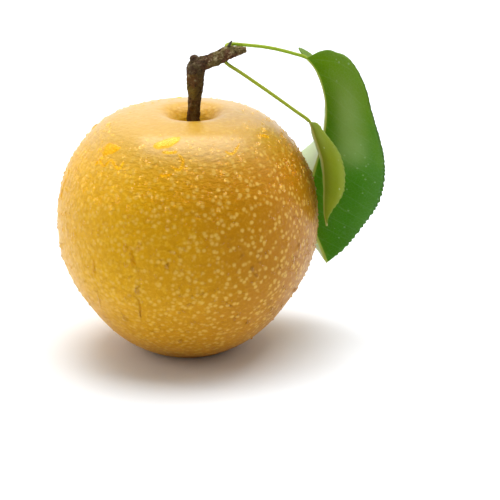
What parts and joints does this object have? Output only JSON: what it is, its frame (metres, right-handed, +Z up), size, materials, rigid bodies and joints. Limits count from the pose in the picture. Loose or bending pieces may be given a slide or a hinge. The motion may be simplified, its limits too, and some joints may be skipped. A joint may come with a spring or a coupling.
{
  "type": "asian pear",
  "caption": "Round golden-brown Asian pear with its woody stalk, a piece of spur and green serrate leaves, standing on the ring round its calyx basin.",
  "frame": {"origin": "on the floor, under the middle of the whole object's box", "axes": "+Z up out of the stalk end; +X from the fruit towards its leaves, the longest extent; -Y towards the side that shows the leaves' undersides"},
  "size_m": [0.1114, 0.0894, 0.1072],
  "materials": {
    "skin": "waxy golden-brown skin with pale lenticels, wet",
    "cork": "dry cork",
    "stalk_bark": "rough olive-brown bark",
    "spur_bark": "rough grey-brown bark",
    "bud_scales": "dark scales",
    "leaf_green": "satin leaf",
    "leaf_olive": "satin leaf",
    "water": "clear drops of water on the skin and leaves"
  },
  "bodies": {
    "root": {"fruit": "skin", "calyx": "cork", "stalk": "stalk_bark", "spur": "spur_bark", "bud": "bud_scales", "large_leaf": "leaf_green", "small_leaf": "leaf_olive"}
  },
  "joints": []
}
